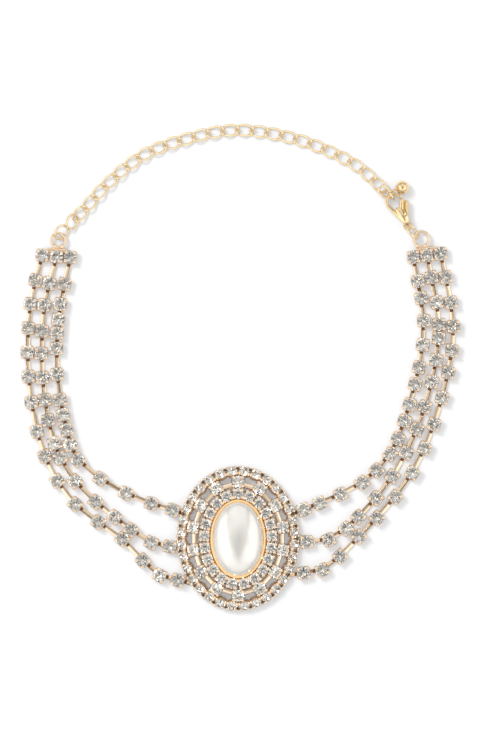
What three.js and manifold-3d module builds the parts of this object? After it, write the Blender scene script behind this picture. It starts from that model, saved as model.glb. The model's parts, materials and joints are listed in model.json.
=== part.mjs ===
// Choker necklace, fastened and lying flat with its stones up: an oval pearl medallion ringed by
// three rows of set stones, three strands of cup chain on each side, an end bar on each strand
// group, a lobster clasp, and a curb extender chain with a ball drop at its end.
// Millimetres, +Z up. The necklace lies on the plane z = 0, and +Y runs from medallion to chain.

import * as THREE from 'three';
import { mergeVertices } from 'three/addons/utils/BufferGeometryUtils.js';
import Module from 'manifold-3d';

const wasm = await Module();
wasm.setup();

// ---- Driving dimensions ----

const up = new THREE.Vector3(0, 0, 1);
const clearance = 0.12; // between soldered neighbours that are modelled as separate pieces
const flatness = 0.002; // faces this close to one plane count as one

// A set stone: an eight-sided cup, widest at its rim, and a crown that rises to the table.
// Widths are across the flats; depth is below the rim and crown above it.
const strandStone = { cup: 3.15, foot: 2.6, depth: 1.9, table: 1.7, crown: 0.65 };
const middleStone = { cup: 3.1, foot: 2.4, depth: 1.9, table: 1.6, crown: 0.6 };
const smallStone = { cup: 2.7, foot: 2.1, depth: 1.7, table: 1.45, crown: 0.55 };
const stoneSides = 8;

// The flat bars that join the feet of a chain's cups
const linkBar = { width: 0.85, thickness: 0.45, height: 0.12 };

// Cup chain pitch: cups pushed together, and the chain drawn out to its full length
const closedPitch = 3.4;
const drawnPitch = 7.3;

// The oval medallion, from its centre outwards. Each row of stones follows an oval; rim is the
// height of its cup rims, lean how far its stones turn outwards, and stretch widens its cups
// along the row. The cups of a close-set row are soldered side to side, and the middle row is a
// chain with open links. first turns the row: 0 has a stone at the top, 0.5 has a join there.
const medallion = { x: -0.75, y: -43.0 };
const rows = {
  ring_inner: {
    stone: smallStone, count: 21, halfWidth: 8.42, halfHeight: 11.25,
    rim: 4.05, lean: 0, first: 0, stretch: 1.12,
  },
  ring_middle: {
    stone: middleStone, count: 14, halfWidth: 11.4, halfHeight: 14.15,
    rim: 3.35, lean: 12, first: 0, open: true,
  },
  ring_outer: {
    stone: smallStone, count: 32, halfWidth: 14.2, halfHeight: 16.95,
    rim: 1.99, lean: 38, first: 0.5, stretch: 1.16,
  },
};
const bezel = {
  halfWidth: 6.9, halfHeight: 9.8, floor: 0.9, foot: 0.2, wall: 0.35, lip: 0.75, hollow: 0.45,
  shoulder: 4.1, rim: 4.6,
};
const pearl = { inset: 0.6, base: 1.0, girdle: 2.6, top: 7.4, steps: 4 };
const ovalSides = 20;

// Strands, from the stone on the end bar to the last one before the medallion. route is the line
// that the strand lies on; drawn has one digit for each link between stones, from 0 with the cups
// pushed together to 9 with the link drawn out; tail reaches from the last stone to the tip of
// the bar that is soldered to the medallion.
const strands = {
  left: {
    outer: {
      route: [[-49.6, 27.7], [-52.6, 15.4], [-53.1, -2.3], [-49.2, -22.1], [-42, -33.9],
        [-29.3, -43.5], [-20.7, -52], [-15.8, -53.4]],
      drawn: '766667978999953',
      tail: 2.9,
    },
    middle: {
      route: [[-46, 27.3], [-49.1, 15.1], [-49.6, -2.8], [-46.6, -19.3], [-41.6, -28.6],
        [-31.4, -37.8], [-22.2, -44.1], [-17.8, -45]],
      drawn: '857565461896463',
      tail: 2.15,
    },
    inner: {
      route: [[-42.6, 27.2], [-45.6, 11.9], [-45.9, -1.8], [-43.6, -15.7], [-40.8, -23.3],
        [-27.8, -32.2], [-17.1, -35.9]],
      drawn: '841017711129985',
      tail: 2.85,
    },
  },
  right: {
    outer: {
      route: [[49.8, 28.1], [53, 9.7], [50.1, -8.1], [42.6, -26.8], [29.5, -42.5],
        [20.3, -50.8], [15.6, -51.6]],
      drawn: '676657878987853',
      tail: 3.1,
    },
    middle: {
      route: [[46.4, 27.6], [49.4, 9.4], [45.9, -10.1], [37.9, -27.3], [26.3, -40.4],
        [21.5, -43.4], [16.4, -43.8]],
      drawn: '575055767887245',
      tail: 2.2,
    },
    inner: {
      route: [[43, 27.2], [45.6, 9.2], [42, -9.6], [37, -22.1], [29.9, -29.2], [19.5, -34.2],
        [15.6, -35.8]],
      drawn: '625652423243652',
      tail: 2.85,
    },
  },
};

// End bars: a loop and the plate that joins it to three cups side by side
const endLoops = {
  left: { x: -45.6, y: 31.4, radius: 1.75 },
  right: { x: 45, y: 31.7, radius: 1.9 },
};
const endLoop = { wire: 0.75, height: 1.3, sides: 16 };
const endPlate = { length: 5, width: 1.3, thickness: 0.8, reach: 1.75 };

// Rings and links of round wire. Curb links are ovals twisted so that they lie flat in a row.
const wireSides = 5;
const loopSides = 10;
const jumpRing = { radius: 1.85, wire: 0.6 };
const jumpRings = [
  { name: 'jump_ring_1', x: -44.8, y: 33.4, z: 1.6, heading: 51, roll: 42 },
  { name: 'jump_ring_2', x: -42.1, y: 36, z: 1.65, heading: 72, roll: 45 },
];
const curbLink = { halfLength: 2.25, halfWidth: 1.5, twist: 0.6, wire: 0.6 };
const extender = {
  route: [[-40.2, 38], [-32.7, 46.2], [-24, 52.9], [-13.4, 56.8], [-2.1, 58.9], [9.2, 57.8],
    [19.8, 54.6], [29.2, 49.8], [34.3, 45.3]],
  links: 24,
  height: 0.9,
};
const lastLink = { x: 36.34, y: 43.1, z: 1.6, heading: -39, roll: 49.5 };
const claspLink = {
  halfLength: 2.04, halfWidth: 1.58, wire: 0.6, x: 42.77, y: 33.57, z: 1.6, heading: -47, roll: -57,
};

// Ball drop: a ball with a wire eye that hangs on the last link
const ball = { x: 40.25, y: 44.6, radius: 1.7, sides: 10, rows: 6 };
const ballEye = { x: 37.62, y: 43.7, z: 2.56, radius: 1.29, wire: 0.45, heading: 21.5 };

// Lobster clasp, in its own frame: the rivet is the origin and z = 0 its middle plane. The body
// is a hook that thins from base to tip; the lever has a gate that closes the hook and a thumb
// piece beside it, both on one plate that turns in a slot of the base.
const clasp = { x: 40.75, y: 36.8, z: 1.5, axis: 31.7, discSides: 12, arcSegments: 6 };
const claspSide = { base: 2.6, hook: 1.4, start: -1.6, taperStart: 1, taperEnd: 2.6, end: 8 };
const claw = { x: -2.65, y: 4.29, outer: 2.25, inner: 1.5 };
const claspBase = { x: 0.15, y: -0.3, radius: 1 };
const notch = { x: -2.15, y: 2.15, radius: 0.25 };
const claspEye = { x: 0.85, y: -1.85, outer: 1.15, hole: 0.7, thickness: 0.7 };
const rivet = { radius: 0.28, hole: 0.4 };
const lever = { plate: 0.8, arm: 1.3, knuckle: 0.8, shoulder: 0.75, root: 1.5, slope: 0.15 };
const gate = { left: -1.125, right: -0.4, bottom: 1.1, top: 5.0 };
const thumb = { left: 0.2, right: 1.05, top: 4.6 };
const gateRoom = [[-1.45, 0.55], [-0.3, 1], [2, 1], [2, 5.12], [-2.2, 5.12], [-2.2, 2.4]];
const leverSlot = [[-0.95, -0.35], [-1.5, 0.5], [-1.5, 1.3], [1.5, 1.3], [1.5, -0.5],
  [0.3, -1.05], [-0.5, -0.95]];

// ---- Finishes ----

const finish = (color, metalness, roughness) =>
  new THREE.MeshStandardMaterial({ color, metalness, roughness, flatShading: true });

const crystal = () => finish(0xe8ecef, 0.35, 0.08);
const plating = () => finish(0xe9c391, 0.95, 0.25);
const brightPlating = () => finish(0xe8b866, 0.95, 0.2);
const orangePlating = () => finish(0xdf9a52, 0.9, 0.3);
const fauxPearl = () => finish(0xf0efef, 0.05, 0.18);

// ---- Solids ----

const necklace = new THREE.Group();

// A closed geometry as a solid: vertices that meet are joined, and faces without area go
function solid(geometry) {
  const bare = new THREE.BufferGeometry();
  bare.setAttribute('position', geometry.getAttribute('position'));
  bare.setIndex(geometry.getIndex());
  const welded = mergeVertices(bare, 1e-4);
  const corners = welded.getIndex().array;
  const faces = [];
  for (let i = 0; i < corners.length; i += 3) {
    const face = [corners[i], corners[i + 1], corners[i + 2]];
    if (new Set(face).size === 3) faces.push(...face);
  }
  return new wasm.Manifold(new wasm.Mesh({
    numProp: 3,
    vertProperties: new Float32Array(welded.getAttribute('position').array),
    triVerts: new Uint32Array(faces),
  }));
}

// One body from solids that meet, without the stray vertices that rounding leaves on flat faces
function join(solids) {
  return wasm.Manifold.union(solids).simplify(flatness);
}

function add(name, shape, material, parent = necklace) {
  const { vertProperties, triVerts } = shape.getMesh();
  const geometry = new THREE.BufferGeometry();
  geometry.setAttribute('position', new THREE.BufferAttribute(vertProperties, 3));
  geometry.setIndex(new THREE.BufferAttribute(triVerts, 1));
  const mesh = new THREE.Mesh(geometry, material);
  mesh.name = name;
  parent.add(mesh);
  return mesh;
}

// ---- Set stones and cup chain ----

// A seat: the middle of a cup's rim, with x along the chain and z out of the stone
function seatAt(place, along, normal) {
  const across = new THREE.Vector3().crossVectors(normal, along);
  return new THREE.Matrix4().makeBasis(along, across, normal).setPosition(place);
}

function setStone(stone, seat, stretch = 1) {
  const corner = 1 / Math.cos(Math.PI / stoneSides);
  const profile = [
    [0, -stone.depth],
    [stone.foot / 2, -stone.depth],
    [stone.cup / 2, 0],
    [stone.table / 2, stone.crown],
    [0, stone.crown],
  ].map(([radius, height]) => new THREE.Vector2(radius * corner, height));
  const geometry = new THREE.LatheGeometry(profile, stoneSides, Math.PI / stoneSides);
  return solid(geometry.rotateX(Math.PI / 2).scale(stretch, 1, 1).applyMatrix4(seat));
}

// The bar between two points on the undersides of neighbouring cups
function bar(start, end, normal) {
  const along = end.clone().sub(start);
  const length = along.length();
  along.normalize();
  const level = normal.clone().addScaledVector(along, -normal.dot(along)).normalize();
  const middle = start.clone().add(end).multiplyScalar(0.5);
  const box = new THREE.BoxGeometry(length, linkBar.width, linkBar.thickness);
  return solid(box.applyMatrix4(seatAt(middle, along, level)));
}

// A point under a seat, level with its bars; ahead is along the chain
function footOf(seat, stone, ahead = 0) {
  const level = linkBar.height + linkBar.thickness / 2 - stone.depth;
  return new THREE.Vector3(ahead, 0, level).applyMatrix4(seat);
}

function normalOf(seat) {
  return new THREE.Vector3().setFromMatrixColumn(seat, 2);
}

function barBetween(seatA, seatB, stone) {
  const normal = normalOf(seatA).add(normalOf(seatB)).normalize();
  return bar(footOf(seatA, stone), footOf(seatB, stone), normal);
}

// ---- Strands ----

function flatCurve(points, height) {
  const places = points.map(([x, y]) => new THREE.Vector3(x, y, height));
  return new THREE.CatmullRomCurve3(places, false, 'centripetal');
}

function strandSeats({ route, drawn }) {
  const curve = flatCurve(route, strandStone.depth);
  const links = [...drawn].map((digit) =>
    closedPitch + (drawnPitch - closedPitch) * Number(digit) / 9);
  const total = links.reduce((sum, link) => sum + link, 0);
  let walked = 0;
  return [0, ...links].map((link) => {
    walked += link;
    const at = Math.min(walked / total, 1);
    return seatAt(curve.getPointAt(at), curve.getTangentAt(at), up);
  });
}

function makeStrand(name, strand) {
  const [endStone, ...seats] = strandSeats(strand);
  const solids = seats.map((seat) => setStone(strandStone, seat));
  for (let i = 1; i < seats.length; i += 1) {
    solids.push(barBetween(seats[i - 1], seats[i], strandStone));
  }
  const first = footOf(seats[0], strandStone);
  const start = footOf(endStone, strandStone);
  start.addScaledVector(first.clone().sub(start).normalize(), strandStone.cup / 2 + clearance);
  solids.push(bar(start, first, up));
  const last = seats.at(-1);
  solids.push(bar(footOf(last, strandStone), footOf(last, strandStone, strand.tail), up));
  add(name, join(solids), crystal());
}

// ---- End bars ----

function wireRing(radius, wire, sides = loopSides) {
  return new THREE.TorusGeometry(radius, wire / 2, wireSides, sides);
}

function makeEndBar(side) {
  const cups = ['outer', 'middle', 'inner'].map((row) => strands[side][row].route[0])
    .map(([x, y]) => new THREE.Vector3(x, y, strandStone.depth));
  const along = cups[2].clone().sub(cups[0]).normalize();
  const seats = cups.map((place) => seatAt(place, along, up));
  const loop = endLoops[side];
  const out = new THREE.Vector3(loop.x, loop.y, 0)
    .sub(new THREE.Vector3(cups[1].x, cups[1].y, 0));
  const outward = new THREE.Vector3(-along.y, along.x, 0);
  outward.multiplyScalar(Math.sign(outward.dot(out)));
  const platePlace = cups[1].clone().addScaledVector(outward, endPlate.reach);
  platePlace.z = endLoop.height;
  const plate = new THREE.BoxGeometry(endPlate.length, endPlate.width, endPlate.thickness);
  const solids = seats.map((seat) => setStone(strandStone, seat));
  solids.push(barBetween(seats[0], seats[1], strandStone));
  solids.push(barBetween(seats[1], seats[2], strandStone));
  solids.push(solid(plate.applyMatrix4(seatAt(platePlace, along, up))));
  solids.push(solid(wireRing(loop.radius, endLoop.wire, endLoop.sides)
    .translate(loop.x, loop.y, endLoop.height)));
  add(`end_bar_${side}`, join(solids), plating());
}

// ---- Medallion ----

function rowSeats(row) {
  const oval = new THREE.EllipseCurve(0, 0, row.halfWidth, row.halfHeight,
    Math.PI / 2, Math.PI * 5 / 2);
  const lean = THREE.MathUtils.degToRad(row.lean);
  return Array.from({ length: row.count }, (_, i) => {
    const at = (i + row.first) / row.count;
    const place = oval.getPointAt(at);
    const tangent = oval.getTangentAt(at);
    const normal = new THREE.Vector3(tangent.y, -tangent.x, 0)
      .multiplyScalar(Math.sin(lean))
      .addScaledVector(up, Math.cos(lean));
    return seatAt(
      new THREE.Vector3(medallion.x + place.x, medallion.y + place.y, row.rim),
      new THREE.Vector3(tangent.x, tangent.y, 0),
      normal,
    );
  });
}

function makeRow(name) {
  const row = rows[name];
  const seats = rowSeats(row);
  const solids = seats.map((seat) => setStone(row.stone, seat, row.stretch));
  seats.forEach((seat, i) => {
    if (row.open) solids.push(barBetween(seat, seats[(i + 1) % seats.length], row.stone));
  });
  add(name, join(solids), crystal());
}

// An oval solid through levels of [half width, half height, z]; it starts and ends on the axis
function ovalSolid(levels) {
  const profile = levels.map(([, halfHeight, z]) => new THREE.Vector2(halfHeight, z));
  const geometry = new THREE.LatheGeometry(profile, ovalSides).rotateX(Math.PI / 2);
  const places = geometry.getAttribute('position');
  for (let i = 0; i < places.count; i += 1) {
    const [halfWidth, halfHeight] = levels[i % levels.length];
    if (halfHeight > 0) places.setX(i, places.getX(i) * halfWidth / halfHeight);
  }
  return solid(geometry.translate(medallion.x, medallion.y, 0));
}

function makeBezel() {
  const level = (inset, z) => [bezel.halfWidth - inset, bezel.halfHeight - inset, z];
  add('bezel', ovalSolid([
    [0, 0, 0],
    level(bezel.foot, 0),
    level(0, bezel.shoulder),
    level(bezel.wall, bezel.rim),
    level(bezel.lip, bezel.rim),
    level(bezel.hollow, bezel.shoulder),
    level(bezel.hollow, bezel.floor),
    [0, 0, bezel.floor],
  ]), orangePlating());
}

function makePearl() {
  const halfWidth = bezel.halfWidth - pearl.inset;
  const halfHeight = bezel.halfHeight - pearl.inset;
  const levels = [[0, 0, pearl.base], [halfWidth, halfHeight, pearl.base]];
  for (let i = 0; i < pearl.steps; i += 1) {
    const turn = Math.PI / 2 * i / pearl.steps;
    const height = pearl.girdle + (pearl.top - pearl.girdle) * Math.sin(turn);
    levels.push([halfWidth * Math.cos(turn), halfHeight * Math.cos(turn), height]);
  }
  levels.push([0, 0, pearl.top]);
  add('pearl', ovalSolid(levels), fauxPearl());
}

// ---- Rings and links ----

class CurbCurve extends THREE.Curve {
  constructor(link) {
    super();
    this.link = link;
  }

  getPoint(t, target = new THREE.Vector3()) {
    const turn = 2 * Math.PI * t;
    const { halfLength, halfWidth, twist = 0 } = this.link;
    return target.set(halfLength * Math.cos(turn), halfWidth * Math.sin(turn),
      twist * Math.sin(2 * turn));
  }
}

function wireLink(link) {
  return new THREE.TubeGeometry(new CurbCurve(link), loopSides, link.wire / 2, wireSides, true);
}

// Turns a loop of wire about its own length, points it along its heading and sets it down
function place(geometry, { x, y, z, heading, roll = 0 }) {
  geometry.rotateX(THREE.MathUtils.degToRad(roll));
  geometry.rotateZ(THREE.MathUtils.degToRad(heading));
  return geometry.translate(x, y, z);
}

function makeJumpRings() {
  jumpRings.forEach((ring) => {
    add(ring.name, solid(place(wireRing(jumpRing.radius, jumpRing.wire), ring)),
      brightPlating());
  });
}

function makeExtender() {
  const curve = flatCurve(extender.route, extender.height);
  for (let i = 0; i < extender.links; i += 1) {
    const at = i / (extender.links - 1);
    const { x, y, z } = curve.getPointAt(at);
    const along = curve.getTangentAt(at);
    const heading = THREE.MathUtils.radToDeg(Math.atan2(along.y, along.x));
    add(`extender_link_${String(i + 1).padStart(2, '0')}`,
      solid(place(wireLink(curbLink), { x, y, z, heading })), brightPlating());
  }
  add('extender_end_link', solid(place(wireLink(curbLink), lastLink)), brightPlating());
}

function makeClaspLink() {
  add('clasp_link', solid(place(wireLink(claspLink), claspLink)), brightPlating());
}

function makeBallDrop() {
  const sphere = new THREE.SphereGeometry(ball.radius, ball.sides, ball.rows)
    .rotateX(Math.PI / 2).translate(ball.x, ball.y, ball.radius);
  const eye = place(wireRing(ballEye.radius, ballEye.wire), { ...ballEye, roll: 90 });
  add('ball_drop', join([solid(sphere), solid(eye)]), brightPlating());
}

// ---- Lobster clasp ----

function slab(shape, thickness) {
  const geometry = new THREE.ExtrudeGeometry(shape,
    { depth: thickness, bevelEnabled: false, curveSegments: clasp.arcSegments });
  return solid(geometry.translate(0, 0, -thickness / 2));
}

function disc(x, y, radius, thickness) {
  const geometry = new THREE.CylinderGeometry(radius, radius, thickness, clasp.discSides);
  return solid(geometry.rotateX(Math.PI / 2).translate(x, y, 0));
}

// Outline round two circles, with straight sides between them
function roundedTaper(big, small) {
  const gap = new THREE.Vector2(big.x - small.x, big.y - small.y);
  const lean = Math.acos((small.radius - big.radius) / gap.length());
  const heading = gap.angle();
  const shape = new THREE.Shape();
  shape.absarc(big.x, big.y, big.radius, heading - lean, heading + lean, false);
  shape.absarc(small.x, small.y, small.radius, heading + lean, heading - lean + 2 * Math.PI,
    false);
  return shape;
}

function polygon(points) {
  return new THREE.Shape(points.map(([x, y]) => new THREE.Vector2(x, y)));
}

// What the clasp's side view leaves of its body: the full base, tapering to the thinner hook
function claspTaper() {
  const { base, hook, start, taperStart, taperEnd, end } = claspSide;
  const upperEdge = [[start, base / 2], [taperStart, base / 2], [taperEnd, hook / 2],
    [end, hook / 2]];
  const lowerEdge = upperEdge.map(([along, height]) => [along, -height]).reverse();
  const geometry = new THREE.ExtrudeGeometry(polygon([...upperEdge, ...lowerEdge]),
    { depth: 2 * end, bevelEnabled: false });
  geometry.translate(0, 0, -end).rotateX(Math.PI / 2);
  return solid(geometry.rotateZ(Math.PI / 2 + THREE.MathUtils.degToRad(clasp.axis)));
}

function makeClaspBody(parent) {
  const through = 2 * claspSide.base;
  const body = slab(roundedTaper({ ...claw, radius: claw.outer }, claspBase), claspSide.base);
  const opening = slab(roundedTaper({ ...claw, radius: claw.inner }, notch), through);
  const slot = slab(polygon(leverSlot), lever.plate + 2 * clearance);
  const eye = disc(claspEye.x, claspEye.y, claspEye.outer, claspEye.thickness);
  const eyeHole = disc(claspEye.x, claspEye.y, claspEye.hole, through);
  const pin = disc(0, 0, rivet.radius, claspSide.base);
  const hook = body.subtract(opening).subtract(slab(polygon(gateRoom), through))
    .intersect(claspTaper());
  const shape = join([hook.add(eye).subtract(eyeHole).subtract(slot), pin]);
  add('clasp_body', shape, brightPlating(), parent);
}

// One arm of the lever, with a blunt point at its tip
function leverArm({ left, right, top }) {
  const tip = (left + right) / 2;
  const side = top - lever.slope;
  return slab(polygon([
    [left, gate.bottom], [right, gate.bottom], [right, side], [tip, top], [left, side],
  ]), lever.arm);
}

function makeClaspLever(parent) {
  const { knuckle, shoulder, root } = lever;
  const plate = slab(polygon([
    [-knuckle, -knuckle / 4], [gate.left, shoulder], [gate.left, root], [gate.right, root],
    [gate.right, shoulder], [thumb.left, shoulder], [thumb.left, root], [thumb.right, root],
    [thumb.right, shoulder / 2], [knuckle / 2, -knuckle * 0.8], [-knuckle / 2, -knuckle],
  ]), lever.plate);
  const hole = disc(0, 0, rivet.hole, 2 * lever.plate);
  const shape = join([leverArm(gate), leverArm(thumb), plate]).subtract(hole);
  add('clasp_lever', shape, brightPlating(), parent);
}

function makeClasp() {
  const frame = new THREE.Group();
  frame.position.set(clasp.x, clasp.y, clasp.z);
  makeClaspBody(frame);
  makeClaspLever(frame);
  necklace.add(frame);
}

// ---- Assembly ----

makePearl();
makeBezel();
Object.keys(rows).forEach(makeRow);
Object.entries(strands).forEach(([side, group]) => {
  Object.entries(group).forEach(([row, strand]) => makeStrand(`strand_${side}_${row}`, strand));
  makeEndBar(side);
});
makeJumpRings();
makeExtender();
makeClaspLink();
makeBallDrop();
makeClasp();

// The origin is the middle of the underside
const extent = new THREE.Box3().setFromObject(necklace);
const middle = extent.getCenter(new THREE.Vector3());
necklace.position.set(-middle.x, -middle.y, -extent.min.z);

export default necklace;
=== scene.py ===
# Choker necklace: strands of rhinestone cup chain joined at an oval pearl medallion, closed by a
# lobster clasp and a curb chain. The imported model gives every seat, link and axis; this script
# cuts the stones, folds the claws, rounds the wire and gives each surface its finish.
import json
import math
import random

import bmesh
import bpy
import numpy as np
from mathutils import Matrix, Vector
from mathutils.kdtree import KDTree


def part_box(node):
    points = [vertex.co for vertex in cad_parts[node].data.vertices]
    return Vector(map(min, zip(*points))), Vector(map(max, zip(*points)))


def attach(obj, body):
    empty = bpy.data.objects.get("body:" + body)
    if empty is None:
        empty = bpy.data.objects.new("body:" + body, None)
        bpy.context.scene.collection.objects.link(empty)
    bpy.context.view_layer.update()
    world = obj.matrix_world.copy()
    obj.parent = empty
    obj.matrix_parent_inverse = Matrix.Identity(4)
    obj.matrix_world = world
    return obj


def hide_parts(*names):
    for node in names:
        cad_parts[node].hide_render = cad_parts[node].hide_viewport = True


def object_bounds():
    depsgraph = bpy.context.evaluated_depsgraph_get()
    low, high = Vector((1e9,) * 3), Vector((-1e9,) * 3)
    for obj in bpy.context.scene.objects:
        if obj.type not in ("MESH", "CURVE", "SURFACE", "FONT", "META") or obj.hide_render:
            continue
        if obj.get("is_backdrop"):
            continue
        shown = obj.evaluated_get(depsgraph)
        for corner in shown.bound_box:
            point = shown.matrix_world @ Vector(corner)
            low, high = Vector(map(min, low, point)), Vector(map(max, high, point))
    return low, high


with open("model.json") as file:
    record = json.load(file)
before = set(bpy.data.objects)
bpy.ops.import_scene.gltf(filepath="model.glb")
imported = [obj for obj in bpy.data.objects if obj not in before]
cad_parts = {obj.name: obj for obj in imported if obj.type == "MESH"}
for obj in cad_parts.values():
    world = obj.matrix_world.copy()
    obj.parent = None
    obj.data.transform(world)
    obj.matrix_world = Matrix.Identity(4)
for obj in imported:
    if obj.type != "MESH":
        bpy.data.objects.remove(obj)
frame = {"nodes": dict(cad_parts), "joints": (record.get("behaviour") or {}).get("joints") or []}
cad_low, cad_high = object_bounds()

# ---- Studio: paper, lamps, light tent and camera ---------------------------------------------
# The necklace lies on a sheet of white paper inside a white light tent. One soft lamp stands at
# its upper left and one hangs straight above it, and the camera looks straight down.

mm = 0.001  # lengths are in millimetres, and a mesh is scaled to metres as it is made


class Value:
    """A value or a link in a material's node tree. A sum on values adds its Math nodes."""

    def __init__(self, tree, socket=None):
        self.tree = tree
        self.socket = socket

    def node(self, kind, settings, inputs, output=0):
        """Adds a node: its settings, then its sockets' values or links, by name or number."""
        made = self.tree.nodes.new(kind)
        for name, setting in settings.items():
            setattr(made, name, setting)
        for name, value in inputs.items():
            socket = made.inputs[name]
            if isinstance(value, Value):
                self.tree.links.new(value.socket, socket)
            else:
                socket.default_value = value
        return Value(self.tree, None if output is None else made.outputs[output])

    def maths(self, operation, *values):
        return self.node("ShaderNodeMath", {"operation": operation}, dict(enumerate(values)))

    def __add__(self, other):
        return self.maths("ADD", self, other)

    def __radd__(self, other):
        return self.maths("ADD", other, self)

    def __sub__(self, other):
        return self.maths("SUBTRACT", self, other)

    def __rsub__(self, other):
        return self.maths("SUBTRACT", other, self)

    def __mul__(self, other):
        return self.maths("MULTIPLY", self, other)

    def __rmul__(self, other):
        return self.maths("MULTIPLY", other, self)

    def blend(self, low, high):
        """The colour low where this value is 0 and high where it is 1."""
        return self.node("ShaderNodeMix", {"data_type": "RGBA"}, {0: self, 6: low, 7: high}, 2)

    def noise(self, size, detail=2.0):
        """Cloudy noise from 0 to 1 in the piece's own space, with patches about size mm wide."""
        place = self.node("ShaderNodeTexCoord", {}, {}, "Object")
        return self.node("ShaderNodeTexNoise", {},
                         {"Vector": place, "Scale": 1 / (size * mm), "Detail": detail})

    def ease(self, start, end, low=0.0, high=1.0):
        """Goes smoothly from low to high as this value goes from start to end."""
        return self.node("ShaderNodeMapRange", {"interpolation_type": "SMOOTHSTEP"},
                         {"Value": self, "From Min": start, "From Max": end,
                          "To Min": low, "To Max": high})

    def bump(self, height, depth):
        """A normal from a height from 0 to 1 that stands for depth mm of relief."""
        return self.node("ShaderNodeBump", {}, {"Height": height, "Distance": depth * mm})


def material(name, surface):
    """A material whose principled shader has the sockets that surface(tree) returns."""
    made = bpy.data.materials.new(name)
    made.use_nodes = True
    made.node_tree.nodes.clear()
    tree = Value(made.node_tree)
    shader = tree.node("ShaderNodeBsdfPrincipled", {}, surface(tree))
    tree.node("ShaderNodeOutputMaterial", {}, {"Surface": shader}, None)
    return made


def paper_surface(tree):
    fibres = tree.noise(0.6, 6.0)
    return {
        "Base Color": fibres.blend((0.475, 0.485, 0.5, 1), (0.5, 0.505, 0.515, 1)),
        "Roughness": 0.85,
        "Normal": tree.bump(fibres, 0.01),
    }


def lamp(name, toward, size, power, glints):
    """A soft square lamp that faces the necklace from the point toward, in metres like its size.

    Polished metal doesn't mirror it; with glints on, the stones show it.
    """
    light = bpy.data.lights.new(name, "AREA")
    light.shape = "RECTANGLE"
    light.size = light.size_y = size
    light.energy = power
    stand = bpy.data.objects.new(name, light)
    stand.location = toward
    stand.rotation_euler = Vector(toward).to_track_quat("Z", "Y").to_euler()
    stand.visible_glossy = False
    stand.visible_transmission = glints
    bpy.context.scene.collection.objects.link(stand)


lamp("lamp_left", (-0.66, 0.6, 1.0), 0.46, 13.5, True)
lamp("lamp_top", (0, 0, 1.3), 0.3, 12.0, False)


def tent_light(tree):
    """The tent's brightness in each direction from the necklace, where 1 is full white.

    Its walls are bright and its roof is duller, darkest at the front. A seam runs between them
    at the back, the cloth is creased, and the lens and the room under the hem are dark. Each
    ease gives where a change starts and ends, with x to the side, y to the back and z upwards.
    """
    roof_dim, roof_bright = 0.14, 0.92
    wall_white, wall_lamps = 1.03, 0.35
    roof_narrowing, roof_widening = 0.8, 0.3  # of its half width, to the front and the back
    seam_place, seam_shade = 0.36, 0.75
    crease_scale, crease_dark, crease_bright = 12.0, 0.65, 1.3
    lens_dark, hem_dark = 0.05, 0.35

    heading = tree.node("ShaderNodeTexCoord", {}, {}, "Generated")
    x, y, z = (tree.node("ShaderNodeSeparateXYZ", {}, {"Vector": heading}, axis)
               for axis in ("X", "Y", "Z"))
    across, along = tree.maths("ABSOLUTE", x), tree.maths("ABSOLUTE", y)
    off_roof = across - tree.maths("MINIMUM", roof_narrowing * y, roof_widening * y)
    roof = y.ease(-0.4, 0.45, roof_dim, roof_bright)
    beside = along.ease(0.4, 0.7, 1.0, 0.0)
    wall = wall_white + wall_lamps * across.ease(0.15, 0.45) * beside
    panels = roof + off_roof.ease(0.33, 0.45) * (wall - roof)
    seam = tree.maths("ABSOLUTE", off_roof - seam_place).ease(0.02, 0.1, seam_shade, 0.0)
    folds = tree.node("ShaderNodeTexNoise", {},
                      {"Vector": heading, "Scale": crease_scale, "Detail": 1.0})
    creases = folds.ease(0.4, 0.6, crease_dark, crease_bright)
    opening = z.ease(0.9925, 0.996, 1.0, lens_dark)
    bench = z.ease(0.05, 0.6, hem_dark, 1.0)
    return panels * (1 - seam * y.ease(0.1, 0.3)) * creases * opening * bench


sky = bpy.data.worlds.new("sky")
bpy.context.scene.world = sky
sky.use_nodes = True
sky.node_tree.nodes.clear()
tent = Value(sky.node_tree)
glow = tent.node("ShaderNodeBackground", {},
                 {"Color": (1.0, 0.992, 0.97, 1), "Strength": tent_light(tent)})
tent.node("ShaderNodeOutputWorld", {}, {"Surface": glow}, None)
bpy.context.scene.view_settings.view_transform = "Standard"

paper_size = 6  # metres
bpy.ops.mesh.primitive_plane_add(size=paper_size)
paper = bpy.context.object
paper.name = "paper"
paper.data.materials.append(material("white_paper", paper_surface))
paper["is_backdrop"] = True

camera_height = 1.0  # metres
view_margin = 1.512  # the view's height, in heights of the necklace
middle = (cad_low + cad_high) / 2
camera = bpy.data.objects.new("camera", bpy.data.cameras.new("camera"))
camera.location = (middle.x - 0.1 * mm, middle.y - 0.3 * mm, camera_height)
camera.data.sensor_width = 36
view_height = view_margin * (cad_high - cad_low).y
camera.data.lens = camera.data.sensor_width * camera.location.z / view_height
bpy.context.scene.collection.objects.link(camera)
bpy.context.scene.camera = camera

# ---- Cup-chain strands -----------------------------------------------------------------------
# Three strands a side. Each is a chain of stamped, plated brass cups, with a foil-backed glass
# stone held in each cup by four folded claws, and flat links that join the cups underneath.
# The last link of each strand is soldered to the medallion's outer row.


def facets_of(node):
    """A node's flat faces, put together again from its triangles, in millimetres."""
    weld, flat_within = 1e-3, math.radians(0.5)
    solid = bmesh.new()
    solid.from_mesh(frame["nodes"][node].data)
    bmesh.ops.scale(solid, vec=(1 / mm,) * 3, verts=solid.verts)
    bmesh.ops.remove_doubles(solid, verts=solid.verts, dist=weld)
    bmesh.ops.dissolve_limit(solid, angle_limit=flat_within, verts=solid.verts,
                             edges=solid.edges)
    return solid


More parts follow.
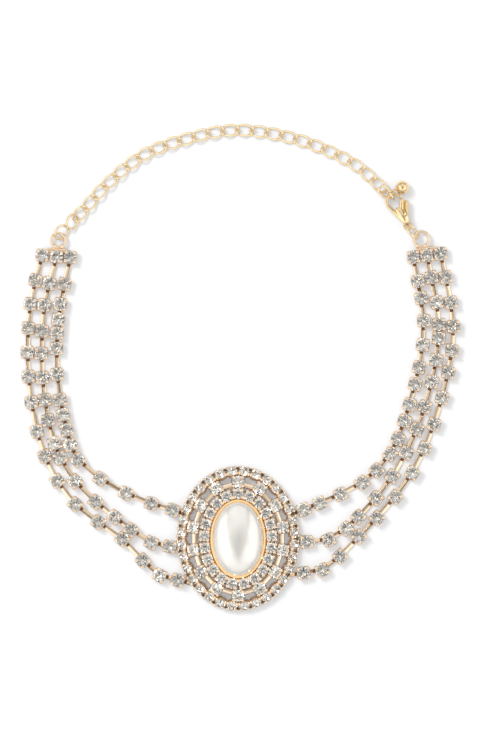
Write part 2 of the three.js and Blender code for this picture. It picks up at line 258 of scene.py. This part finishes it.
def tables_of(node):
    """Middle, upward normal and corners of each stone's table: the eight-sided faces on top."""
    solid = facets_of(node)
    tables = []
    for face in solid.faces:
        middle = face.calc_center_median()
        reach = [(corner.co - middle).length for corner in face.verts]
        even = max(reach) < 1.2 * min(reach)
        if len(reach) == 8 and even and face.normal.z > 0.5:
            tables.append((middle, face.normal.copy(), [corner.co.copy() for corner in face.verts]))
    solid.free()
    return tables


def seat_at(table, along, rise):
    """A seat's matrix: the middle of its rim, x along the chain and z out of the stone.

    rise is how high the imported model's table stands above the rim.
    """
    middle, normal, _ = table
    along = (along - along.dot(normal) * normal).normalized()
    across = normal.cross(along)
    seat = Matrix((along, across, normal)).transposed().to_4x4()
    seat.translation = middle - rise * normal
    return seat


def flat_heading(table, wanted):
    """The direction from a table's middle to the middle of the edge that lies nearest wanted."""
    middle, _, corners = table
    flats = [(a + b) / 2 - middle for a, b in zip(corners, corners[1:] + corners[:1])]
    return max(flats, key=lambda flat: flat.dot(wanted)).normalized()


def strand_tables(node):
    """A strand's tables in chain order, from the end bar to the medallion."""
    waiting = tables_of(node)
    chain = [max(waiting, key=lambda table: table[0].y)]
    waiting.remove(chain[0])
    while waiting:
        chain.append(min(waiting, key=lambda table: (table[0] - chain[-1][0]).length))
        waiting.remove(chain[-1])
    return chain


class Shape:
    """Corners in millimetres, faces, and each face's finish, as a piece is put together."""

    def __init__(self, corners=(), faces=(), finishes=None):
        self.corners = [tuple(corner) for corner in corners]
        self.faces = [tuple(face) for face in faces]
        self.finishes = list(finishes) if finishes else [0] * len(self.faces)

    def add(self, other, seat=None):
        """Takes in another shape, moved to a seat."""
        first = len(self.corners)
        places = np.array(other.corners)
        if seat is not None:
            turn = np.array(seat)
            places = places @ turn[:3, :3].T + turn[:3, 3]
        self.corners += [tuple(place) for place in places]
        self.faces += [tuple(first + i for i in face) for face in other.faces]
        self.finishes += other.finishes


def lofted(rings, foot=None, tip=None, looped=False):
    """A skin over rings of points.

    Its ends are flat, or run to a point given as its foot or tip. Looped, it has no ends: its
    last ring joins its first. Its faces are its foot's, its tip's, and then each band's in turn.
    """
    count = len(rings[0])
    corners = [point for ring in rings for point in ring]
    last = len(corners) - count
    faces = []
    if foot:
        faces += [(len(corners), (i + 1) % count, i) for i in range(count)]
        corners.append(foot)
    elif not looped:
        faces.append(range(count)[::-1])
    if tip:
        faces += [(last + i, last + (i + 1) % count, len(corners)) for i in range(count)]
        corners.append(tip)
    elif not looped:
        faces.append(range(last, last + count))
    for row in range(len(rings) if looped else len(rings) - 1):
        here, there = row * count, (row + 1) % len(rings) * count
        for i in range(count):
            after = (i + 1) % count
            faces.append((here + i, here + after, there + after, there + i))
    return Shape(corners, faces)


def piece(name, shape, finishes, node, body="necklace", crease=None):
    """A finished piece that rides on a body in a node's place; crease keeps edges sharp."""
    mesh = bpy.data.meshes.new(name)
    mesh.from_pydata([Vector(corner) * mm for corner in shape.corners], [], shape.faces)
    for finish in finishes:
        mesh.materials.append(finish)
    mesh.polygons.foreach_set("material_index", shape.finishes)
    if crease:
        mesh.shade_smooth()
        mesh.set_sharp_from_angle(angle=math.radians(crease))
    else:
        mesh.shade_flat()
    made = bpy.data.objects.new(name, mesh)
    bpy.context.scene.collection.objects.link(made)
    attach(made, body)
    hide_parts(node)
    return made


cut_glass_finish, foil_finish = 0, 1  # of a stone


def cut_stone(radius, table, crown, pavilion):
    """A round stone with a table, star, kite and girdle facets, pointed below its girdle.

    It is cut glass above the girdle, with foil behind the pavilion.
    """
    mains = 8
    half = math.cos(math.pi / mains)
    girdle, belt = 0.08, 0.06  # the girdle's edges, above and below the rim
    star = 0.55 * table + 0.45 * radius
    star_height = girdle + (crown - girdle) * (radius - star * half) / (radius - table)
    deep = 0.35 * radius
    deep_height = -pavilion + (pavilion - belt) * deep * half / radius

    def ring(count, r, z, turn=0.0):
        steps = (2 * math.pi * (i + turn) / count for i in range(count))
        return [(r * math.cos(step), r * math.sin(step), z) for step in steps]

    corners = (ring(mains, table, crown) + ring(mains, star, star_height, 0.5)
               + ring(2 * mains, radius, girdle) + ring(2 * mains, radius, -belt)
               + ring(mains, deep, deep_height, 0.5) + [(0, 0, -pavilion)])
    top, mid, rim, low, under, point = (mains * rings for rings in (0, 1, 2, 4, 6, 7))
    faces, finishes = [range(mains)], [cut_glass_finish]

    def face(finish, *indices):
        faces.append(indices)
        finishes.append(finish)

    for i in range(mains):
        after, before = (i + 1) % mains, (i - 1) % mains
        here, between, there = 2 * i, 2 * i + 1, 2 * after
        face(cut_glass_finish, top + i, mid + i, top + after)
        face(cut_glass_finish, top + i, mid + before, rim + here, mid + i)
        face(cut_glass_finish, mid + i, rim + here, rim + between)
        face(cut_glass_finish, mid + i, rim + between, rim + there)
        face(foil_finish, point, under + i, low + here, under + before)
        face(foil_finish, under + i, low + between, low + here)
        face(foil_finish, under + i, low + there, low + between)
    for i in range(2 * mains):
        after = (i + 1) % (2 * mains)
        face(cut_glass_finish, rim + i, low + i, low + after, rim + after)
    return Shape(corners, faces, finishes)


# The slots' dark brown is painted shadow: the shade each cup casts on the link just past it.
claw_finish, slot_shadow_finish, shaded_wall_finish = 0, 1, 2  # of a cup chain's metal


def stamped_cup(rim, foot, depth, grip, stretch):
    """A stamped cup, thin-walled and squarish, with four claws folded over its stone.

    rim and foot are its widths across the flats, and grip is how far its claws reach inwards.
    Its walls take a darker, more orange gold than its lip and claws: painted shade.
    """
    wall, squareness, steps = 0.14, 0.07, 24
    # half width and height, from under the floor, over the lip and down to the floor inside
    profile = [(foot / 2 - 0.12, -depth), (foot / 2, -depth + 0.12), (rim / 2 - 0.02, -0.5),
               (rim / 2, -0.12), (rim / 2 - 0.06, -0.03), (rim / 2 - wall, -0.12),
               (rim / 2 - wall, -0.4), (foot / 2 - wall, -depth + wall)]
    rings = [[] for _ in profile]
    for i in range(steps):
        turn = 2 * math.pi * (i + 0.5) / steps
        square = 1 + squareness * (1 - math.cos(4 * turn)) / 2
        for ring, (radius, height) in zip(rings, profile):
            ring.append((radius * square * stretch * math.cos(turn),
                         radius * square * math.sin(turn), height))
    cup = lofted(rings, foot=(0, 0, -depth), tip=(0, 0, -depth + wall))
    # Floors and walls, outside and inside, get the darker gold that paints shade; the lip stays
    # pale.
    floors, outer_wall, lip, inner_wall = 2 * steps, 2 * steps, 3 * steps, 2 * steps  # faces
    cup.finishes = ([shaded_wall_finish] * (floors + outer_wall) + [claw_finish] * lip
                    + [shaded_wall_finish] * inner_wall)

    corner = rim / 2 * 1.09  # from the cup's middle to where a claw stands
    # distance out, height, half width and half thickness, up a claw and over to its tip
    claw_path = [(corner - 0.12, -1.0, 0.46, 0.12), (corner + 0.04, -0.45, 0.45, 0.14),
                 (corner + 0.09, -0.05, 0.44, 0.15), (corner - 0.01, 0.2, 0.42, 0.16),
                 (corner - 0.2, 0.37, 0.39, 0.16), (corner - grip, 0.47, 0.33, 0.13),
                 (corner - grip - 0.12, 0.46, 0.18, 0.06)]
    claw_sides, section_slope = 8, 0.7
    turns = [2 * math.pi * (k + 0.5) / claw_sides for k in range(claw_sides)]
    claw = lofted([[(out + thick * math.cos(turn), half * math.sin(turn),
                     height + thick * section_slope * math.cos(turn)) for turn in turns]
                   for out, height, half, thick in claw_path])
    for turn in (45, 135, 225, 315):
        cup.add(claw, Matrix.Diagonal((stretch, 1, 1, 1)) @ Matrix.Rotation(
            math.radians(turn), 4, "Z"))
    return cup


slot_length, slot_width, slot_burr = 0.8, 0.9, 0.1


def punched_slot():
    """A slot's mouth punched through a strip, dark brown: painted shadow of the cup beside it."""
    square = ((1, 1), (-1, 1), (-1, -1), (1, -1))
    mouth = lofted([[(x * slot_length / 2, y * slot_width / 2, z) for x, y in square]
                    for z in (-slot_burr, slot_burr / 4)])
    mouth.finishes = [slot_shadow_finish] * len(mouth.faces)
    return mouth


link_width, link_thickness, link_edge = 1.2, 0.42, 0.11


def flat_link(start, end, normal, slot=None):
    """A flat strip with rounded edges between two points under neighbouring cups.

    slot is how far from its start the strip has its punched slot.
    """
    along = end - start
    length = along.length
    along.normalize()
    level = (normal - normal.dot(along) * along).normalized()
    outline = []
    for aside, above, first in ((1, 1, 0), (-1, 1, 90), (-1, -1, 180), (1, -1, 270)):
        y, z = aside * (link_width / 2 - link_edge), above * (link_thickness / 2 - link_edge)
        for turn in (0, 30, 60, 90):
            angle = math.radians(first + turn)
            outline.append((y + link_edge * math.cos(angle), z + link_edge * math.sin(angle)))
    stations = 8
    seat = Matrix((along, level.cross(along), level)).transposed().to_4x4()
    seat.translation = (start + end) / 2
    strip = Shape()
    strip.add(lofted([[(length * (k / stations - 0.5), y, z) for y, z in outline]
                      for k in range(stations + 1)]), seat)
    if slot:
        strip.add(punched_slot(), seat @ Matrix.Translation(
            (slot - length / 2, 0, link_thickness / 2)))
    return strip


def crystal_surface(tree):
    return {
        "Base Color": (0.99, 0.99, 0.985, 1),
        "Roughness": 0.01,
        "IOR": 1.56,
        "Transmission Weight": 1.0,
    }


def foil_surface(tree):
    cloud = tree.noise(0.8)
    return {
        "Base Color": cloud.blend((0.9, 0.885, 0.86, 1), (0.98, 0.97, 0.955, 1)),
        "Metallic": 1.0,
        "Roughness": 0.02 + cloud * 0.03,
    }


def plating_surface(pale, deep, rough, shine=1.0):
    """Plating whose colour drifts a little and whose gloss is broken up by fine wear.

    shine is 1 where it is polished and lower where it is matt from the plating bath.
    """
    def surface(tree):
        drift = tree.noise(2.5)
        wear = tree.noise(0.35, 4.0)
        return {
            "Base Color": drift.blend(pale, deep),
            "Metallic": shine,
            "Roughness": rough + wear * 0.12,
            "Normal": tree.bump(wear, 0.008),
        }
    return surface


# Painted shadow: a mottled dark brown that stands for the cup's shade on each link's slot.
def slot_shadow_surface(tree):
    mottle = tree.noise(0.4, 4.0)
    return {
        "Base Color": mottle.blend((0.07, 0.027, 0.01, 1), (0.22, 0.1, 0.04, 1)),
        "Metallic": 0.5,
        "Roughness": 0.45 + 0.2 * mottle,
        "Normal": tree.bump(mottle, 0.03),
    }


cut_glass = material("cut_glass", crystal_surface)
mirror_foil = material("mirror_foil", foil_surface)
pale_gold = material("pale_gold",
                     plating_surface((0.99, 0.82, 0.64, 1), (0.94, 0.71, 0.49, 1), 0.12, 0.95))
# The next gold is a darker, more orange copy of the pale one: painted shade on the cups' walls.
shaded_gold = material("shaded_gold",
                     plating_surface((0.97, 0.69, 0.41, 1), (0.92, 0.57, 0.3, 1), 0.25, 0.8))
slot_shadow = material("slot_shadow", slot_shadow_surface)

strand_cup = {"rim": 3.4, "foot": 2.66, "depth": 1.85, "grip": 0.42}
strand_stone = {"radius": 1.61, "table": 0.94, "crown": 0.61, "pavilion": 1.41}
strand_rise = 0.65  # from a cup's rim up to its stone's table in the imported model
stone_tip = 3.0  # how far a stone commonly lies out of true, in degrees
link_level = -1.5  # from a cup's rim down to the middle of its links
last_reach = 3.1  # from a strand's last stone to the tip of the link soldered to the medallion
link_roll = (0.1, 0.2)  # least and most that a link leans to a side, as a slope
level_links = {"strand_left_inner": (6, 12)}  # but these lie exactly flat
slot_place = (1.8, 2.05)  # least and most from a link's start to its slot
up = Vector((0, 0, 1))


def jostled(seat, chance):
    """A seat as a stone really lies in it: turned anyhow, and tipped by a few degrees."""
    spin = Matrix.Rotation(chance.uniform(0, math.pi / 4), 4, "Z")
    lean = Matrix.Rotation(math.radians(chance.gauss(0, stone_tip)), 4, "X")
    sway = Matrix.Rotation(math.radians(chance.gauss(0, stone_tip)), 4, "Y")
    return seat @ lean @ sway @ spin


def set_stones(node, seats, stone, cup, links, seed, stretch=1.0):
    """The two pieces that stand for a node: its plated cups and links, and its stones."""
    chance = random.Random(seed)
    one_cup, one_stone = stamped_cup(**cup, stretch=stretch), cut_stone(**stone)
    metal, glass = Shape(), Shape()
    for link in links:
        metal.add(link)
    for seat in seats:
        metal.add(one_cup, seat)
        glass.add(one_stone, jostled(seat, chance))
    piece(f"{node}_cups", metal, [pale_gold, slot_shadow, shaded_gold], node, crease=38)
    piece(f"{node}_stones", glass, [cut_glass, mirror_foil], node)


def foot_of(seat, ahead=0.0):
    """The point under a seat where its links lie, or one that far along the chain from it."""
    return seat @ Vector((ahead, 0, link_level))


for side in ("left", "right"):
    bar_tables = sorted(tables_of(f"end_bar_{side}"), key=lambda table: abs(table[0].x))
    for (bar_middle, _, _), row in zip(bar_tables, ("inner", "middle", "outer")):
        node = f"strand_{side}_{row}"
        chain = strand_tables(node)
        befores = [bar_middle] + [table[0] for table in chain]
        seats = [seat_at(table, flat_heading(table, table[0] - before), strand_rise)
                 for table, before in zip(chain, befores)]
        feet = [foot_of(seat) for seat in seats] + [foot_of(seats[-1], last_reach)]
        feet.insert(0, Vector((bar_middle.x, bar_middle.y, feet[0].z)))
        chance = random.Random(node + " links")
        links = []
        for number, (start, end) in enumerate(zip(feet, feet[1:])):
            roll = chance.choice((-1, 1)) * chance.uniform(*link_roll)
            if number in level_links.get(node, ()):
                roll = 0.0
            across = (end - start).normalized().cross(up)
            slot = chance.uniform(*slot_place)
            links.append(flat_link(start, end, up + roll * across, slot))
        set_stones(node, seats, strand_stone, strand_cup, links, node)

# ---- End bars --------------------------------------------------------------------------------
# Three cups soldered side by side end each group of strands. A rounded rod of plated brass is
# soldered along their outer side, and on it stands a loop of round wire for the chain, with a
# drop of solder at each of its feet.


def swept_wire(path, wire, looped=True):
    """Round wire along a path of points that is never upright, looped or with two flat ends."""
    sides = 12
    rings = []
    for i, point in enumerate(path):
        after = path[(i + 1) % len(path)] if looped or i + 1 < len(path) else point
        before = path[i - 1] if looped or i > 0 else point
        along = (after - before).normalized()
        across = along.cross(up).normalized()
        over = across.cross(along)
        turns = (2 * math.pi * k / sides for k in range(sides))
        rings.append([point + wire / 2 * (math.cos(turn) * across + math.sin(turn) * over)
                      for turn in turns])
    return lofted(rings, looped=looped)


def oval_path(half_length, half_width, twist=0.0, gap=0.0):
    """Points round an oval, twisted at its ends; gap is the share left open at one end."""
    steps = 56
    share = [gap / 2 + (1 - gap) * i / steps for i in range(steps + (gap > 0))]
    turns = [2 * math.pi * (part + 0.5) for part in share]
    return [Vector((half_length * math.cos(turn), half_width * math.sin(turn),
                    twist * math.sin(2 * turn))) for turn in turns]


def solder_bead(width, height, segments=16):
    """A smooth round lump, width and height from its middle."""
    drop = bmesh.new()
    bmesh.ops.create_uvsphere(drop, u_segments=segments, v_segments=segments * 5 // 8, radius=1,
                              matrix=Matrix.Diagonal((width, width, height, 1)))
    bead = Shape([corner.co for corner in drop.verts],
                 [[corner.index for corner in face.verts] for face in drop.faces])
    drop.free()
    return bead


rod_reach, rod_length, rod_wire, rod_steps = 1.7, 5.0, 0.85, 10
end_loops = {"left": 1.75, "right": 1.9}  # radius of each loop's centreline
loop_wire, loop_height = 0.72, 1.3
foot_spread, foot_place = 0.55, 0.86  # aside and down from the loop's middle, in its radii
foot_solder = solder_bead(0.55, 0.5)
crest_depth = 0.2  # the part of a packed loop's top that gives the loop's middle line

for side, loop_radius in end_loops.items():
    node = f"end_bar_{side}"
    bar_tables = sorted(tables_of(node), key=lambda table: table[0].x)
    middles = [table[0] for table in bar_tables]
    along = (middles[2] - middles[0]).normalized()
    seats = [seat_at(table, along, strand_rise) for table in bar_tables]
    outward = Vector((-along.y, along.x, 0))
    rod_middle = middles[1] + rod_reach * outward
    rod_middle.z = loop_height
    rod_path = [rod_middle + along * rod_length * (k / rod_steps - 0.5)
                for k in range(rod_steps + 1)]
    rod = swept_wire(rod_path, rod_wire, looped=False)
    corners = [corner.co / mm for corner in frame["nodes"][node].data.vertices]
    top = max(corner.y for corner in corners)
    crest = [corner.x for corner in corners if corner.y > top - crest_depth]
    loop_seat = Matrix.Translation((sum(crest) / len(crest), top - loop_radius - loop_wire / 2,
                                    loop_height))
    loop = Shape()
    loop.add(swept_wire(oval_path(loop_radius, loop_radius), loop_wire), loop_seat)
    for spread in (-foot_spread, foot_spread):
        foot = loop_seat @ Vector((spread * loop_radius, -loop_radius * foot_place, 0))
        loop.add(foot_solder, Matrix.Translation(foot))
    joins = [flat_link(foot_of(a), foot_of(b), up) for a, b in zip(seats, seats[1:])]
    set_stones(node, seats, strand_stone, strand_cup, [rod, loop] + joins, node)

# ---- Medallion rows --------------------------------------------------------------------------
# Three ovals of foil-backed stones in plated cups round the pearl. The inner and outer rows are
# cups soldered side by side, the outer one tilted outwards; the middle row is cup chain.

small_cup = {"rim": 2.78, "foot": 2.1, "depth": 1.65, "grip": 0.4}
small_stone = {"radius": 1.31, "table": 0.77, "crown": 0.53, "pavilion": 1.26}
small_rise = 0.55
middle_cup = {"rim": 3.26, "foot": 2.4, "depth": 1.85, "grip": 0.42}
middle_stone = {"radius": 1.53, "table": 0.9, "crown": 0.6, "pavilion": 1.42}
middle_rise = 0.6
inner_stretch, outer_stretch = 1.08, 1.12
joint_level = -0.75  # from the cups' rims down to the solder between them
joint_solder = solder_bead(0.5, 0.5, 8)


def row_seats(node, rise):
    """Seats of a row's stones in order round the medallion."""
    tables = tables_of(node)
    centre = sum((table[0] for table in tables), Vector()) / len(tables)
    tables.sort(key=lambda table: math.atan2(table[0].y - centre.y, table[0].x - centre.x))
    middles = [table[0] for table in tables]
    seats = []
    for i, table in enumerate(tables):
        onward = middles[(i + 1) % len(middles)] - middles[i - 1]
        seats.append(seat_at(table, flat_heading(table, onward), rise))
    return seats


def solder_between(seats):
    """The drops of solder that join each cup to the next round a row."""
    joints = Shape()
    for seat, after in zip(seats, seats[1:] + seats[:1]):
        joints.add(joint_solder, seat.lerp(after, 0.5) @ Matrix.Translation((0, 0, joint_level)))
    return [joints]


inner_seats = row_seats("ring_inner", small_rise)
set_stones("ring_inner", inner_seats, small_stone, small_cup, solder_between(inner_seats),
           "inner", inner_stretch)

middle_seats = row_seats("ring_middle", middle_rise)
row_links = []
for seat, after in zip(middle_seats, middle_seats[1:] + middle_seats[:1]):
    normal = (seat.col[2] + after.col[2]).to_3d().normalized()
    row_links.append(flat_link(foot_of(seat), foot_of(after), normal))
set_stones("ring_middle", middle_seats, middle_stone, middle_cup, row_links, "middle")

outer_seats = row_seats("ring_outer", small_rise)
set_stones("ring_outer", outer_seats, small_stone, small_cup, solder_between(outer_seats),
           "outer", outer_stretch)

# ---- Bezel -----------------------------------------------------------------------------------
# A deep oval tray of orange-gold plated brass. Its fine milled lip is pressed over the edge of
# the pearl, and is broadest at the oval's foot.


def oval_ring(centre, half_width, half_length, height, cuts):
    """Points round an oval, each set in from it by its own cut."""
    ring = []
    for i, cut in enumerate(cuts):
        turn = 2 * math.pi * i / len(cuts)
        ring.append((centre.x + (half_width - cut) * math.cos(turn),
                     centre.y + (half_length - cut) * math.sin(turn), height))
    return ring


orange_gold = material("orange_gold",
                       plating_surface((1.0, 0.71, 0.38, 1), (1.0, 0.63, 0.3, 1), 0.35, 0.75))
low, high = (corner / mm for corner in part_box("bezel"))
centre = (low + high) / 2
half_width, half_length = (high - low).x / 2, (high - low).y / 2
rim = high.z
# how far each ring is set in, its height, and how deeply it is milled, from 0 to 1
tray_profile = [
    (0.3, 0.0, 0), (0.1, 0.1, 0), (0.0, 2.0, 0), (-0.04, rim - 0.75, 0), (-0.06, rim - 0.5, 0),
    (0.0, rim - 0.28, 0), (0.1, rim - 0.1, 0.5), (0.22, rim - 0.01, 1), (0.36, rim, 1),
    (0.5, rim - 0.06, 1), (0.6, rim - 0.2, 0.6), (0.64, rim - 0.3, 0),
    (0.62, rim - 0.5, 0), (0.62, rim - 0.6, 0), (0.62, 0.9, 0),
]
tray_steps, teeth, tooth_depth = 168, 84, 0.07
lip_inside, lip_extra = 0.4, 0.3  # rings set in past the first go further at the oval's foot


def tray_cuts(inset, milled):
    """How far each point of one of the tray's rings is set in."""
    cuts = []
    for i in range(tray_steps):
        turn = 2 * math.pi * i / tray_steps
        cut = inset + milled * tooth_depth * (1 + math.cos(teeth * turn)) / 2
        if inset > lip_inside:
            cut += lip_extra * max(0.0, -math.sin(turn))
        cuts.append(cut)
    return cuts


tray = lofted([oval_ring(centre, half_width, half_length, height, tray_cuts(inset, milled))
               for inset, height, milled in tray_profile])
piece("bezel_tray", tray, [orange_gold], "bezel", crease=60)

# ---- Pearl -----------------------------------------------------------------------------------
# A faux pearl: an oval cabochon of moulded resin under a nacre coating, cemented in the bezel's
# tray and held by its lip. Its side is upright up to the lip and domed above it.


def nacre_surface(tree):
    cloud = tree.noise(5.0)
    ripple = tree.noise(1.6, 3.0)
    # The base colour turns warmer and brighter where the surface turns from the camera: a painted
    # sheen.
    painted_sheen = tree.node("ShaderNodeLayerWeight", {}, {"Blend": 0.35}, "Facing")
    face = cloud.blend((0.7, 0.69, 0.65, 1), (0.75, 0.735, 0.695, 1))
    edge = cloud.blend((0.8, 0.74, 0.69, 1), (0.76, 0.74, 0.71, 1))
    return {
        "Base Color": painted_sheen.blend(face, edge),
        "Metallic": 0.7,
        "Roughness": 0.22 + 0.05 * ripple,
        "Coat Weight": 0.5,
        "Coat Roughness": 0.08,
        "Normal": tree.bump(ripple, 0.01),
    }


nacre = material("nacre", nacre_surface)
low, high = (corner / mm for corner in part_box("pearl"))
centre = (low + high) / 2
half_width, half_length = (high - low).x / 2, (high - low).y / 2
girdle = rim - 0.3  # where the side ends and the dome starts, just inside the lip
foot_inset, foot_height = 0.25, 0.3
dome_steps = 22
uncut = [0.0] * 128
rings = [oval_ring(centre, half_width - foot_inset, half_length - foot_inset, low.z, uncut),
         oval_ring(centre, half_width, half_length, low.z + foot_height, uncut)]
for step in range(dome_steps):
    rise = math.pi / 2 * step / dome_steps
    rings.append(oval_ring(centre, half_width * math.cos(rise), half_length * math.cos(rise),
                           girdle + (high.z - girdle) * math.sin(rise), uncut))
cabochon = lofted(rings, tip=(centre.x, centre.y, high.z))
piece("pearl_cabochon", cabochon, [nacre], "pearl", crease=50)

# ---- Chain: jump rings, extender and clasp link ----------------------------------------------
# Brass wire with a light gold plating, bent into rings and ovals. The extender's curb links are
# twisted so that they lie flat; the jump rings and the clasp's link are closed by hand, so each
# shows a fine seam.


def own_frame(node):
    """A wire link's matrix: its middle, x along its length and z square to its loop."""
    corners = np.array([corner.co for corner in frame["nodes"][node].data.vertices]) / mm
    centre = corners.mean(0)
    _, axes = np.linalg.eigh(np.cov((corners - centre).T))
    length, square = Vector(axes[:, 2]), Vector(axes[:, 0])
    turn = Matrix((length, square.cross(length), square)).transposed().to_4x4()
    turn.translation = Vector(centre)
    return turn


def link_piece(node, path, soldered):
    """A link of the chain, soldered shut or with a fine seam left where it was closed."""
    link = Shape()
    link.add(swept_wire(path, chain_wire, looped=soldered), own_frame(node))
    piece(f"{node}_wire", link, [light_gold], node, crease=60)


light_gold = material("light_gold",
                      plating_surface((1.0, 0.84, 0.6, 1), (0.94, 0.74, 0.46, 1), 0.08, 0.95))
chain_wire = 0.6
seam = 0.008  # share of its oval that a link's seam takes
curb_path = oval_path(2.25, 1.34, twist=0.6)
ring_path = oval_path(1.85, 1.85, gap=seam)
clasp_link_path = oval_path(2.04, 1.58, gap=seam)
for number in range(1, 25):
    link_piece(f"extender_link_{number:02d}", curb_path, True)
link_piece("extender_end_link", curb_path, True)
link_piece("jump_ring_1", ring_path, False)
link_piece("jump_ring_2", ring_path, False)
link_piece("clasp_link", clasp_link_path, False)

# ---- Ball drop -------------------------------------------------------------------------------
# A small hollow ball of yellow gold plate with a wire eye soldered to it, which hangs on the
# extender's last link.

yellow_gold = material("yellow_gold",
                       plating_surface((0.98, 0.78, 0.48, 1), (0.92, 0.68, 0.36, 1), 0.06))
ball_radius, ball_segments = 1.7, 40
ball_polish = 0.01  # how far the ball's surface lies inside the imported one
eye_radius, eye_wire, eye_heading = 1.29, 0.45, math.radians(21.5)
eye_offset = Vector((-2.63, -0.9, 0.86))  # from the ball's middle to the eye's

corners = [corner.co / mm for corner in frame["nodes"]["ball_drop"].data.vertices]
ball_x = max(corner.x for corner in corners) - ball_radius
outer = [corner.y for corner in corners if corner.x > ball_x]
ball_middle = Vector((ball_x, sum(outer) / len(outer), ball_radius))
ball = solder_bead(ball_radius - ball_polish, ball_radius - ball_polish, ball_segments)
drop = Shape()
drop.add(ball, Matrix.Translation(ball_middle))
eye_seat = (Matrix.Translation(ball_middle + eye_offset) @ Matrix.Rotation(eye_heading, 4, "Z")
            @ Matrix.Rotation(math.pi / 2, 4, "X"))
drop.add(swept_wire(oval_path(eye_radius, eye_radius), eye_wire), eye_seat)
piece("ball_drop_ball", drop, [yellow_gold], "ball_drop", crease=60)

# ---- Lobster clasp ---------------------------------------------------------------------------
# A hook of plated cast brass that thins from its base to its tip, with an eye at its tail, and a
# lever with a gate and a thumb piece that turns on a rivet through the base.

rivet = Vector(frame["joints"][0]["pos_m"]) / mm


def slab(outline, low, high):
    """A flat form: an outline from the rivet, between two heights from the rivet's middle."""
    return lofted([[(rivet.x + x, rivet.y + y, rivet.z + z) for x, y in outline]
                   for z in (low, high)])


def refined(made, kind, **settings):
    """Replaces a piece's mesh with what one modifier makes of it."""
    change = made.modifiers.new(kind, kind)
    for name, setting in settings.items():
        setattr(change, name, setting)
    graph = bpy.context.evaluated_depsgraph_get()
    mesh = bpy.data.meshes.new_from_object(made.evaluated_get(graph))
    made.modifiers.clear()
    made.data = mesh


casting_grain, first_polish, last_polish = 0.07, 12, 18
upward = 0.6  # a normal's upright share on the upper side is more than this, on a wall less
edge_rise, edge_width = 0.17, 0.8  # the upper side rounds up this much, this far in from a wall
swell, swell_start = 0.52, 0.5  # slope of the dome, and how far in from a wall it starts
swell_taper, swell_least = 0.15, 0.2  # share lost for each mm past the rivet, and least share
swell_rounds = 30  # of smoothing


def polished_casting(name, node, body, fillets, waist):
    """A node's solid and its fillets as one polished casting.

    Its upper faces, above waist from the rivet, are rounded near their walls and swell between
    them, most at the rivet and less towards the tip.
    """
    solid = Shape([corner.co / mm for corner in frame["nodes"][node].data.vertices],
                  [face.vertices for face in frame["nodes"][node].data.polygons])
    for fillet in fillets:
        solid.add(fillet)
    made = piece(name, solid, [yellow_gold], node, body, crease=180)
    refined(made, "REMESH", mode="VOXEL", voxel_size=casting_grain * mm, use_smooth_shade=True)
    refined(made, "SMOOTH", factor=0.5, iterations=first_polish)

    def level(corner):
        """A corner's place, with heights counted three times to keep to walls at its level."""
        return corner.co.x / mm, corner.co.y / mm, 3 * corner.co.z / mm

    sides = [corner for corner in made.data.vertices if abs(corner.normal.z) < upward]
    walls = KDTree(len(sides))
    for i, corner in enumerate(sides):
        walls.insert(level(corner), i)
    walls.balance()
    rounding, rises = [], []
    for corner in made.data.vertices:
        inwards = 0.0
        if corner.co.z / mm - rivet.z > waist and corner.normal.z > upward:
            wall, _, _ = walls.find(level(corner))
            inwards = math.hypot(corner.co.x / mm - wall.x, corner.co.y / mm - wall.y)
        ahead = max(corner.co.y / mm - rivet.y, 0)
        rounding.append(edge_rise * (1 - (1 - min(inwards / edge_width, 1)) ** 2))
        rises.append(swell * max(inwards - swell_start, 0)
                     * max(1 - swell_taper * ahead, swell_least))
    ends = np.array([edge.vertices for edge in made.data.edges])
    either, other = ends.ravel(), ends[:, ::-1].ravel()
    neighbours = np.bincount(either)
    for _ in range(swell_rounds):
        rises = np.bincount(either, weights=np.take(rises, other)) / neighbours
    for corner, rise in zip(made.data.vertices, rises + np.array(rounding)):
        corner.co.z += rise * mm
    refined(made, "SMOOTH", factor=0.5, iterations=last_polish)
    made.data.name = name


palm = [(-2.4, 2.3), (-1.6, 0.4), (0.5, 0.4), (0.5, 1.3), (-0.1, 2.0), (-0.9, 2.7), (-1.7, 2.9)]
cheek_inside, cheek_outside = 0.95, 1.3
hook_waist = 0.55
cheeks = [slab(palm, -cheek_outside, -cheek_inside), slab(palm, cheek_inside, cheek_outside)]
polished_casting("clasp_hook", "clasp_body", "necklace", cheeks, hook_waist)

gate_outline = [(-0.15, 1.1), (-0.15, 4.4), (-0.4, 5.05), (-1.0, 5.05), (-1.4, 1.95), (-1.3, 1.25)]
web_outline = [(-0.6, 0.9), (0.4, 0.9), (0.4, 4.3), (-0.1, 4.8), (-0.6, 4.5)]
lever_waist = 0.3
lever_fillets = [slab(gate_outline, -0.6, 0.6), slab(web_outline, -0.65, -0.35)]
polished_casting("clasp_gate", "clasp_lever", "lever", lever_fillets, lever_waist)

low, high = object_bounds()
